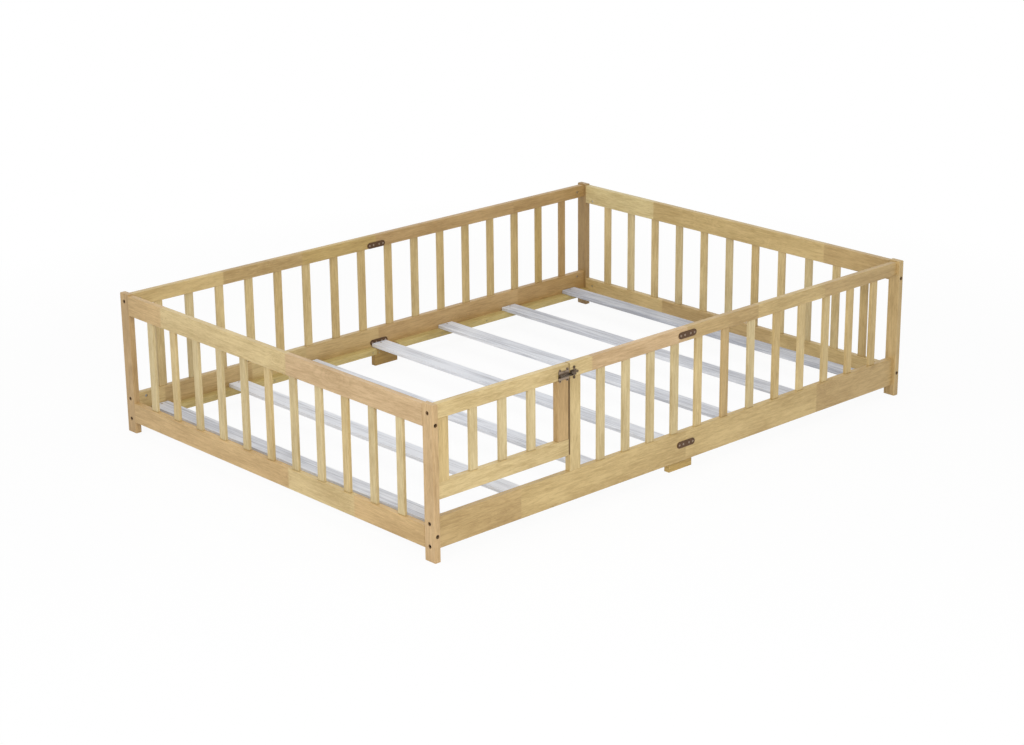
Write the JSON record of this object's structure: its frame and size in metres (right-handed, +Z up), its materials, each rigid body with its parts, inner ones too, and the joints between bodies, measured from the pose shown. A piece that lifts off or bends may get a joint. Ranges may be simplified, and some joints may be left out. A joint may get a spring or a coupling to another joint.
{
  "type": "toddler floor bed",
  "caption": "Low wooden floor bed for a toddler, fenced by rails and balusters on all sides, with a slatted deck and a small swinging gate held by a barrel bolt.",
  "frame": {"origin": "on the floor, in the middle of the four posts", "axes": "+X along the long sides, away from the gate's hinges; +Y from the gate side to the back side; +Z up"},
  "size_m": [1.968, 1.4638, 0.447],
  "materials": {
    "rail_wood": "satin clear lacquer",
    "post_wood": "satin clear lacquer",
    "gate_wood": "satin clear lacquer",
    "ledger_wood": "bare planed wood",
    "slat_wood": "grey-washed planed wood",
    "black_bolt_steel": "black oxide",
    "zinc_steel": "zinc plated",
    "bronze_plate": "dark bronze",
    "yellow_screws": "yellow zinc",
    "antique_bronze": "antique bronze",
    "hinge_brass": "brass plated"
  },
  "bodies": {
    "frame": {"back_balusters_left": "rail_wood", "back_balusters_right": "rail_wood", "back_bottom_rail_left": "rail_wood", "back_bottom_rail_right": "rail_wood", "back_centre_foot": "ledger_wood", "back_ledger_left": "ledger_wood", "back_ledger_right": "ledger_wood", "back_top_rail_left": "rail_wood", "back_top_rail_right": "rail_wood", "barrel_nuts": "zinc_steel", "end_rail_bolts": "black_bolt_steel", "frame_hinge_leaves": "hinge_brass", "front_balusters_left": "rail_wood", "front_balusters_right": "rail_wood", "front_bottom_rail_left": "rail_wood", "front_bottom_rail_right": "rail_wood", "front_centre_foot": "ledger_wood", "front_ledger_left": "ledger_wood", "front_ledger_right": "ledger_wood", "front_top_rail_left": "rail_wood", "front_top_rail_right": "rail_wood", "gate_strike_stile": "gate_wood", "hinge_pins": "hinge_brass", "joining_plates": "bronze_plate", "latch_keeper": "antique_bronze", "left_end_balusters": "rail_wood", "left_end_bottom_rail": "rail_wood", "left_end_top_rail": "rail_wood", "post_back_left": "post_wood", "post_back_right": "post_wood", "post_front_left": "post_wood", "post_front_right": "post_wood", "right_end_balusters": "rail_wood", "right_end_bottom_rail": "rail_wood", "right_end_top_rail": "rail_wood", "side_rail_bolts": "black_bolt_steel", "slat_1": "slat_wood", "slat_2": "slat_wood", "slat_3": "slat_wood", "slat_4": "slat_wood", "slat_5": "slat_wood", "slat_6": "slat_wood", "slat_7": "slat_wood"},
    "gate": {"gate_balusters": "gate_wood", "gate_bottom_rail": "gate_wood", "gate_hinge_leaves": "hinge_brass", "gate_hinge_stile": "gate_wood", "gate_latch_stile": "gate_wood", "gate_top_rail": "gate_wood", "latch_plate": "antique_bronze"},
    "latch_bolt": {"latch_rod": "antique_bronze", "latch_knob": "antique_bronze"}
  },
  "joints": [
    {"name": "gate_swing", "type": "hinge", "parent": "frame", "child": "gate", "pos_m": [-0.9609, -0.7171, 0.3], "axis": [0, 0, 1], "range_deg": [-135, 0]},
    {"name": "latch_slide", "type": "slide", "parent": "gate", "child": "latch_bolt", "axis": [1, 0, 0], "range_m": [0, 0.012]}
  ]
}
